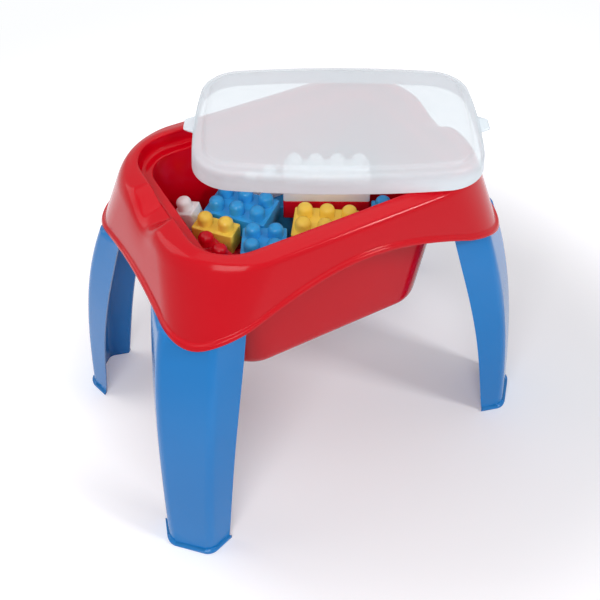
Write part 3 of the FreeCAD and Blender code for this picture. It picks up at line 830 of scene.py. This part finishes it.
@dataclass(frozen=True)
class Lid:
    """The milky lid: a skirt, a rounded shoulder, a shelf, a raised panel and an ear at each end."""

    hem: Outline = Outline(0.1562, 0.1062, 0.0472, 0.980, 0.620)
    hem_round: float = 0.0008
    hem_inner_round: float = 0.0006
    wall: float = 0.002
    skirt: float = 0.022
    draft: float = 0.002
    shelf: float = 0.010
    step: float = 0.003
    step_round: float = 0.0016
    step_inner_round: float = 0.0012
    panel_inset: float = 0.02
    shoulder: float = 0.0075
    ear_length: float = 0.034
    ear_reach: float = 0.010
    ear_height: float = 0.0105
    ear_thickness: float = 0.0035
    ear_bevel: float = 0.0011
    ear_sink: float = 0.0005
    ear_flat: float = 0.45
    ear_steps: int = 28
    turn: float = -29.3
    sharp_angle: float = 40.0
    steps: Steps = Steps(56, 40, 16)

    def knees(self) -> list[Knee]:
        """Lay out the profile from the panel's top down the skirt and back inside.

        Returns:
            The knees.
        """
        wall, top, high = self.wall, self.skirt, self.skirt + self.step
        panel = self.draft + self.shelf

        def ring(inset: float, height: float) -> list[Vector]:
            """Return the lid's outline, inset at a height."""
            return self.hem.grown(-inset).points(self.steps, height)

        return [
            Knee(ring(panel + self.panel_inset, high), rows=2),
            Knee(ring(panel + self.step, high), self.step_round, bends=4, rows=2),
            Knee(ring(panel, top), self.step_round, bends=4, rows=3),
            Knee(ring(self.draft, top), self.shoulder, bends=7, rows=6),
            Knee(ring(0.0, 0.0), self.hem_round, bends=3),
            Knee(ring(wall, 0.0), self.hem_inner_round, bends=3, rows=6),
            Knee(ring(self.draft + wall, top - wall), self.shoulder - wall, bends=5, rows=3),
            Knee(ring(panel + wall, top - wall), self.step_inner_round, bends=3, rows=2),
            Knee(ring(panel + self.step + wall, high - wall), self.step_inner_round, bends=3, rows=2),
            Knee(ring(panel + self.panel_inset, high - wall)),
        ]

    def ear(self, side: int) -> bpy.types.Mesh:
        """Make one ear, a tab that swells smoothly from the lid's skirt.

        Args:
            side: 1 for the right end, -1 for the left one.

        Returns:
            The ear's mesh.
        """
        half, count, bevel = self.ear_length / 2, self.ear_steps, self.ear_bevel
        low, high = self.ear_height, self.ear_height + self.ear_thickness
        root = self.hem.half_length - self.wall
        rows = []
        for inset, height in ((bevel, low), (0.0, low + bevel), (0.0, high - bevel), (bevel, high)):
            row = []
            for step in range(count + 1):
                along = -1 + 2 * step / count
                swell = (self.ear_reach + self.wall) * (1 - ease(self.ear_flat, 1.0, abs(along))) - inset
                row.append(Vector((root + swell, along * (half - inset), height)))
            for step in range(count + 1):
                along = 1 - 2 * step / count
                row.append(Vector((root - self.ear_sink, along * (half - inset), height)))
            rows.append(row)
        mesh = skin_rows(f"lid_ear_{side}", rows)
        if side < 0:
            mesh.transform(Matrix.Rotation(math.pi, 4, "Z"))
        return mesh

    def build(self, palette: Palette) -> bpy.types.Object:
        """Build the lid where its node lies, with its skirt marked for the finish.

        Args:
            palette: the materials.

        Returns:
            The lid.
        """
        form = bmesh.new()
        for mesh in (skin_rows("lid_form", sweep_profile(self.knees())), self.ear(1), self.ear(-1)):
            form.from_mesh(mesh)
            bpy.data.meshes.remove(mesh)
        joined = mesh_of(form, "lid_moulding")
        skirt = joined.attributes.new(SKIRT_LAYER, "FLOAT", "POINT")
        for vert in joined.vertices:
            skirt.data[vert.index].value = 1 - ease(self.skirt - 2 * self.shoulder, self.skirt, vert.co.z)
        low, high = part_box("lid")
        middle = (low + high) / 2
        turned = Matrix.Rotation(math.radians(self.turn), 4, "Z")
        joined.transform(Matrix.Translation((middle.x, middle.y, low.z)) @ turned)
        smooth(joined, self.sharp_angle)
        return seat(add_object("lid_moulding", joined), "lid", Finish.LID, palette)


# The building blocks


class Pose(Enum):
    """How a block lies in the tub."""

    FLAT = "flat"
    LEANING = "leaning"
    ON_END = "on end"


@dataclass(frozen=True)
class Block:
    """One hollow building block and the way it lies."""

    node: str
    columns: int
    rows: int
    finish: Finish
    turn: float = 0.0
    pose: Pose = Pose.FLAT
    tilt: float = 0.0
    heading: float = 0.0

    def rotation(self) -> Matrix:
        """Turn the block about its upright axis, and then tilt it.

        Returns:
            Both turns as one.
        """
        tilt = 90.0 if self.pose is Pose.ON_END else self.tilt
        heading = math.radians(self.turn if self.pose is Pose.ON_END else self.heading)
        axis = Vector((-math.sin(heading), math.cos(heading), 0))
        return Matrix.Rotation(math.radians(tilt), 4, axis) @ Matrix.Rotation(math.radians(self.turn), 4, "Z")


@dataclass(frozen=True)
class StudPattern:
    """A Geometry Nodes tree that sets one shape on a grid of points and joins it to a block."""

    name: str = "stud_pattern"
    sizes: tuple[tuple[str, str], ...] = (
        ("Columns", "NodeSocketInt"),
        ("Rows", "NodeSocketInt"),
        ("Length", "NodeSocketFloat"),
        ("Width", "NodeSocketFloat"),
        ("Height", "NodeSocketFloat"),
        ("Shape", "NodeSocketObject"),
        ("Finish", "NodeSocketMaterial"),
    )
    nodes: tuple[tuple[str, str], ...] = (
        ("entry", "NodeGroupInput"),
        ("grid", "GeometryNodeMeshGrid"),
        ("spots", "GeometryNodeMeshToPoints"),
        ("rise", "ShaderNodeCombineXYZ"),
        ("lift", "GeometryNodeSetPosition"),
        ("shape", "GeometryNodeObjectInfo"),
        ("scatter", "GeometryNodeInstanceOnPoints"),
        ("join", "GeometryNodeJoinGeometry"),
        ("real", "GeometryNodeRealizeInstances"),
        ("dress", "GeometryNodeSetMaterial"),
        ("leave", "NodeGroupOutput"),
    )
    links: tuple[tuple[str, str, str, str], ...] = (
        ("entry", "Length", "grid", "Size X"),
        ("entry", "Width", "grid", "Size Y"),
        ("entry", "Columns", "grid", "Vertices X"),
        ("entry", "Rows", "grid", "Vertices Y"),
        ("grid", "Mesh", "spots", "Mesh"),
        ("entry", "Height", "rise", "Z"),
        ("spots", "Points", "lift", "Geometry"),
        ("rise", "Vector", "lift", "Offset"),
        ("entry", "Shape", "shape", "Object"),
        ("lift", "Geometry", "scatter", "Points"),
        ("shape", "Geometry", "scatter", "Instance"),
        ("scatter", "Instances", "join", "Geometry"),
        ("entry", "Geometry", "join", "Geometry"),
        ("join", "Geometry", "real", "Geometry"),
        ("real", "Geometry", "dress", "Geometry"),
        ("entry", "Finish", "dress", "Material"),
        ("dress", "Geometry", "leave", "Geometry"),
    )

    def tree(self) -> bpy.types.NodeTree:
        """Build the tree.

        Returns:
            The tree, with an input for each size.
        """
        tree = bpy.data.node_groups.new(self.name, "GeometryNodeTree")
        tree.interface.new_socket("Geometry", in_out="INPUT", socket_type="NodeSocketGeometry")
        for label, kind in self.sizes:
            tree.interface.new_socket(label, in_out="INPUT", socket_type=kind)
        tree.interface.new_socket("Geometry", in_out="OUTPUT", socket_type="NodeSocketGeometry")
        made = {label: tree.nodes.new(kind) for label, kind in self.nodes}
        for source, output, target, entry in self.links:
            tree.links.new(made[source].outputs[output], made[target].inputs[entry])
        return tree


def lathe(name: str, profile: Sequence[tuple[float, float]], segments: int) -> bpy.types.Mesh:
    """Turn a profile about the upright axis.

    Args:
        name: the mesh's name.
        profile: radius and height of each point, from one end to the other.
        segments: how many steps make a full turn.

    Returns:
        The mesh, closed where the profile reaches the axis.
    """
    form = bmesh.new()
    rings = []
    for radius, height in profile:
        if radius < WELD:
            rings.append([form.verts.new((0, 0, height))])
            continue
        angles = (2 * math.pi * step / segments for step in range(segments))
        rings.append([form.verts.new((radius * math.cos(a), radius * math.sin(a), height)) for a in angles])
    for low, high in zip(rings, rings[1:]):
        for index in range(segments):
            after = (index + 1) % segments
            corners = [low[index % len(low)], low[after % len(low)]]
            corners += [high[after % len(high)], high[index % len(high)]]
            form.faces.new(list(dict.fromkeys(corners)))
    bmesh.ops.recalc_face_normals(form, faces=form.faces)
    return mesh_of(form, name)


@dataclass(frozen=True)
class BlockPile:
    """The hollow building blocks in the tub: shells with domed studs above and tubes below."""

    pitch: float = 0.025
    height: float = 0.02405
    wall: float = 0.002
    play: float = 0.0003
    edge_round: float = 0.0014
    corner_share: float = 1.6
    corner_least: float = 0.0004
    hem_round: float = 0.0004
    ceiling_round: float = 0.0006
    plate_inset: float = 0.004
    ceiling_inset: float = 0.006
    shell_steps: Steps = Steps(1, 1, 3)
    stud_diameter: float = 0.0174
    stud_height: float = 0.01395
    crown: float = 0.0065
    crown_bends: int = 9
    base_round: float = 0.0007
    base_hollow: float = 0.3
    stud_segments: int = 40
    stud_clearance: float = 0.0003
    tube_wall: float = 0.0016
    tube_edge: float = 0.0004
    bore_least: float = 0.35
    tube_segments: int = 32
    sharp_angle: float = 35.0
    blocks: tuple[Block, ...] = (
        Block("white_single_block", 1, 1, Finish.WHITE, -50, Pose.LEANING, 14, 140),
        Block("yellow_double_block", 2, 1, Finish.YELLOW, -50),
        Block("red_double_block", 2, 1, Finish.RED, -80),
        Block("blue_square_block", 2, 2, Finish.BLUE, -30),
        Block("blue_six_stud_block", 3, 2, Finish.BLUE, -50),
        Block("yellow_six_stud_block", 3, 2, Finish.YELLOW, -35),
        Block("red_long_block", 4, 2, Finish.RED, -29.8),
        Block("white_long_block", 4, 2, Finish.WHITE, -29.8),
        Block("blue_double_block", 2, 1, Finish.BLUE, -29.8),
        Block("white_double_block", 2, 1, Finish.WHITE),
        Block("red_standing_block", 4, 1, Finish.RED, 0, Pose.ON_END),
        Block("blue_standing_block", 4, 1, Finish.BLUE, 90, Pose.ON_END),
        Block("yellow_standing_block", 4, 1, Finish.YELLOW, 0, Pose.ON_END),
        Block("blue_back_standing_block", 4, 1, Finish.BLUE, 0, Pose.ON_END),
        Block("white_standing_block", 4, 1, Finish.WHITE, 0, Pose.ON_END),
    )

    def stud(self) -> bpy.types.Mesh:
        """Turn one tall stud with a domed crown and a small fillet at its foot.

        Returns:
            The stud's mesh.
        """
        radius, top, crown, foot = self.stud_diameter / 2, self.stud_height, self.crown, self.base_round
        hollow = foot * self.base_hollow
        profile = [(radius + foot, 0.0), (radius + hollow, hollow), (radius, foot)]
        for step in range(self.crown_bends + 1):
            angle = math.pi / 2 * step / self.crown_bends
            profile.append((radius - crown + crown * math.cos(angle), top - crown + crown * math.sin(angle)))
        profile += [((radius - crown) / 2, top), (0.0, top)]
        return lathe("stud_form", profile, self.stud_segments)

    def tube(self, outer: float) -> bpy.types.Mesh:
        """Turn one tube of the hollow side, which hangs from the block's top plate.

        Args:
            outer: its outer radius.

        Returns:
            The tube's mesh.
        """
        inner = max(outer - self.tube_wall, outer * self.bore_least)
        reach, edge = self.height - self.wall, self.tube_edge
        profile = [(inner, reach), (inner, edge), (inner + edge, 0.0)]
        profile += [(outer - edge, 0.0), (outer, edge), (outer, reach)]
        return lathe("tube_form", profile, self.tube_segments)

    def shell(self, block: Block) -> bpy.types.Mesh:
        """Make a block's hollow shell with rounded edges, open below.

        Args:
            block: the block.

        Returns:
            The shell's mesh.
        """
        half_length = (block.columns * self.pitch - self.play) / 2
        half_width = (block.rows * self.pitch - self.play) / 2
        ceiling = self.height - self.wall

        def ring(inset: float, height: float) -> list[Vector]:
            """Return the shell's outline, inset at a height."""
            round_by = max(self.edge_round * self.corner_share - inset, self.corner_least)
            return Outline(half_length - inset, half_width - inset, round_by).points(self.shell_steps, height)

        knees = [
            Knee(ring(self.plate_inset, self.height)),
            Knee(ring(0.0, self.height), self.edge_round, bends=4),
            Knee(ring(0.0, 0.0), self.hem_round, bends=2),
            Knee(ring(self.wall, 0.0), self.hem_round, bends=2),
            Knee(ring(self.wall, ceiling), self.ceiling_round, bends=2),
            Knee(ring(self.ceiling_inset, ceiling)),
        ]
        return skin_rows(f"{block.node}_shell", sweep_profile(knees))

    def patterned(self, piece: bpy.types.Object, tree: bpy.types.NodeTree, sizes: dict[str, Any]) -> None:
        """Set a shape on a grid over a piece, as plain mesh.

        Args:
            piece: the piece that gets it.
            tree: the pattern's tree.
            sizes: the tree's inputs by name.
        """
        pattern = piece.modifiers.new("pattern", "NODES")
        pattern.node_group = tree
        for item in tree.interface.items_tree:
            if item.in_out == "INPUT" and item.name in sizes:
                pattern[item.identifier] = sizes[item.name]
        view = bpy.context.evaluated_depsgraph_get()
        mesh = bpy.data.meshes.new_from_object(piece.evaluated_get(view))
        piece.modifiers.remove(pattern)
        old = piece.data
        piece.data = mesh
        bpy.data.meshes.remove(old)

    def build_block(self, block: Block, tree: bpy.types.NodeTree, stud: bpy.types.Object,
                    palette: Palette) -> bpy.types.Object:
        """Build one block where its node lies.

        Args:
            block: the block.
            tree: the stud pattern.
            stud: the stud's shape.
            palette: the materials.

        Returns:
            The block.
        """
        piece = add_object(f"{block.node}_moulding", self.shell(block))
        coat = palette.material(block.finish)
        self.patterned(piece, tree, {
            "Columns": block.columns, "Rows": block.rows, "Length": (block.columns - 1) * self.pitch,
            "Width": (block.rows - 1) * self.pitch, "Height": self.height, "Shape": stud, "Finish": coat})
        if block.columns > 1:
            across = self.pitch * (math.sqrt(2) if block.rows > 1 else 1) - self.stud_diameter
            tube = add_object("tube", self.tube(across / 2 - self.stud_clearance))
            self.patterned(piece, tree, {
                "Columns": block.columns - 1, "Rows": max(block.rows - 1, 1),
                "Length": (block.columns - 2) * self.pitch, "Width": max(block.rows - 2, 0) * self.pitch,
                "Height": 0.0, "Shape": tube, "Finish": coat})
            bpy.data.objects.remove(tube)
        mesh = piece.data
        mesh.transform(block.rotation())
        spots = [vert.co for vert in mesh.vertices]
        low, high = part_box(block.node)
        own_low = Vector(min(spot[axis] for spot in spots) for axis in range(3))
        own_high = Vector(max(spot[axis] for spot in spots) for axis in range(3))
        mesh.transform(Matrix.Translation((low + high - own_low - own_high) / 2))
        smooth(mesh, self.sharp_angle)
        return seat(piece, block.node, block.finish, palette)

    def build(self, palette: Palette) -> list[bpy.types.Object]:
        """Build all blocks.

        Args:
            palette: the materials.

        Returns:
            The blocks.
        """
        tree = StudPattern().tree()
        stud = add_object("stud", self.stud())
        pieces = [self.build_block(block, tree, stud, palette) for block in self.blocks]
        bpy.data.objects.remove(stud)
        return pieces


# The studio


@dataclass(frozen=True)
class Lamp:
    """A soft lamp: a square that glows towards a spot."""

    name: str
    place: tuple[float, float, float]
    aim: tuple[float, float, float]
    width: float
    power: float

    def light(self) -> None:
        """Hang the lamp."""
        data = bpy.data.lights.new(self.name, "AREA")
        data.shape = "SQUARE"
        data.size = self.width
        data.energy = self.power
        lamp = bpy.data.objects.new(self.name, data)
        lamp.location = self.place
        lamp.rotation_euler = (Vector(self.aim) - Vector(self.place)).to_track_quat("-Z", "Y").to_euler()
        bpy.context.scene.collection.objects.link(lamp)


@dataclass(frozen=True)
class Studio:
    """The camera at the photograph's angle, soft lamps and a plain pale floor."""

    azimuth: float = -29.3
    elevation: float = 46.4
    distance: float = 1.008
    target: tuple[float, float, float] = (-0.001, -0.002, 0.166)
    focal_length: float = 47.76
    sensor: float = 36.0
    nearest: float = 0.01
    floor_size: float = 12.0
    floor_drop: float = 0.0004
    floor_colour: Colour = paint(244, 243, 246)
    floor_dulled: float = 0.985
    floor_cells: int = 4
    paper_scale: float = 3.0
    sky: float = 0.2
    sky_colour: Colour = (0.98, 0.99, 1.0, 1.0)
    # Painted shade on the floor: its glow keeps only a small share round a spot beside the object and grows
    # to the full glow further off, so the floor shows darker there
    glow: float = 0.6
    painted_shade_glow: float = 0.08
    painted_shade_reach: tuple[float, float] = (0.28, 0.62)
    painted_shade_centre: tuple[float, float, float] = (0.13, -0.05, 0.0)
    white_reach: tuple[float, float] = (0.55, 1.3)
    lamps: tuple[Lamp, ...] = (
        Lamp("overhead", (0.35, 0.2, 2.4), (0.0, 0.0, 0.2), 2.2, 13.0),
        Lamp("key", (-0.95, -1.14, 1.48), (0.0, 0.0, 0.3), 1.0, 17.0),
        Lamp("glint", (1.12, -1.49, 1.74), (0.0, 0.0, 0.3), 0.4, 16.0),
        Lamp("left", (-1.5, 1.2, 1.75), (-0.15, 0.0, 0.35), 1.6, 15.0),
    )

    def camera(self) -> None:
        """Set up the camera."""
        data = bpy.data.cameras.new("camera")
        data.lens = self.focal_length
        data.sensor_width = self.sensor
        data.clip_start = self.nearest
        turn, lift = math.radians(self.azimuth), math.radians(self.elevation)
        back = Vector((math.sin(turn) * math.cos(lift), -math.cos(turn) * math.cos(lift), math.sin(lift)))
        camera = bpy.data.objects.new("camera", data)
        camera.location = Vector(self.target) + back * self.distance
        camera.rotation_euler = back.to_track_quat("Z", "Y").to_euler()
        bpy.context.scene.collection.objects.link(camera)
        bpy.context.scene.camera = camera

    def floor_material(self) -> bpy.types.Material:
        """Build the floor's material, which shows as near white, and as white away from the object, with
        painted shade where its glow is held back round a spot beside the object.

        Returns:
            The material.
        """
        graph = Graph(bpy.data.materials.new("studio_floor"))
        dull = tuple(self.floor_dulled * part for part in self.floor_colour[:3]) + (1.0,)
        diffuse = graph.node("ShaderNodeBsdfDiffuse", None, {
            "Color": graph.mix(graph.noise(self.paper_scale), self.floor_colour, dull)})
        glow = graph.node("ShaderNodeEmission", None, {"Color": self.floor_colour, "Strength": self.glow})
        both = graph.node("ShaderNodeAddShader", None, {0: diffuse.outputs[0], 1: glow.outputs[0]})
        away = graph.node("ShaderNodeVectorMath", {"operation": "DISTANCE"}, {
            0: graph.place(), 1: self.painted_shade_centre})
        seen = graph.ray(*SHOWN_RAYS)

        def spread(reach: tuple[float, float], least: float) -> Amount:
            """Return a share that grows with the distance, for rays that show the floor."""
            step = graph.node("ShaderNodeMapRange", {"interpolation_type": "SMOOTHSTEP"}, {
                "Value": away.outputs["Value"], "From Min": reach[0], "From Max": reach[1], "To Min": least})
            return seen * Amount(graph, step.outputs["Result"])

        # Painted shade: the glow is mostly held back round a spot beside the object, so the floor shows
        # darker there
        pale = graph.node("ShaderNodeMixShader", None, {
            0: spread(self.painted_shade_reach, self.painted_shade_glow), 1: diffuse.outputs[0], 2: both.outputs[0]})
        white = graph.node("ShaderNodeEmission", None, {"Color": self.sky_colour, "Strength": 1.0})
        return graph.finish(graph.node("ShaderNodeMixShader", None, {
            0: spread(self.white_reach, 0.0), 1: pale.outputs[0], 2: white.outputs[0]}))

    def floor(self) -> None:
        """Lay the floor just under the feet."""
        form = bmesh.new()
        cells = self.floor_cells
        bmesh.ops.create_grid(form, x_segments=cells, y_segments=cells, size=self.floor_size / 2)
        mesh = mesh_of(form, "studio_floor")
        mesh.materials.append(self.floor_material())
        floor = add_object("studio_floor", mesh)
        floor.location.z = -self.floor_drop

    def world(self) -> None:
        """Give the room its even, pale light; the room itself shows as white, also in what shines."""
        graph = Graph(bpy.data.worlds.new("studio_room"))
        seen = graph.ray(*SHOWN_RAYS)
        room = graph.node("ShaderNodeBackground", None, {
            "Color": self.sky_colour, "Strength": seen * (1 - self.sky) + self.sky})
        bpy.context.scene.world = graph.finish(room)

    def build(self) -> None:
        """Set up camera, floor, room and lamps."""
        self.camera()
        self.floor()
        self.world()
        for lamp in self.lamps:
            lamp.light()
        bpy.context.scene.view_settings.view_transform = "Standard"


def main() -> None:
    """Build the object and the studio."""
    logging.basicConfig(level=logging.INFO, format="%(message)s")
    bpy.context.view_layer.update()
    palette = Palette()
    TableTop().build(palette)
    Legs().build(palette)
    Lid().build(palette)
    BlockPile().build(palette)
    Studio().build()


if __name__ == "__main__":
    main()
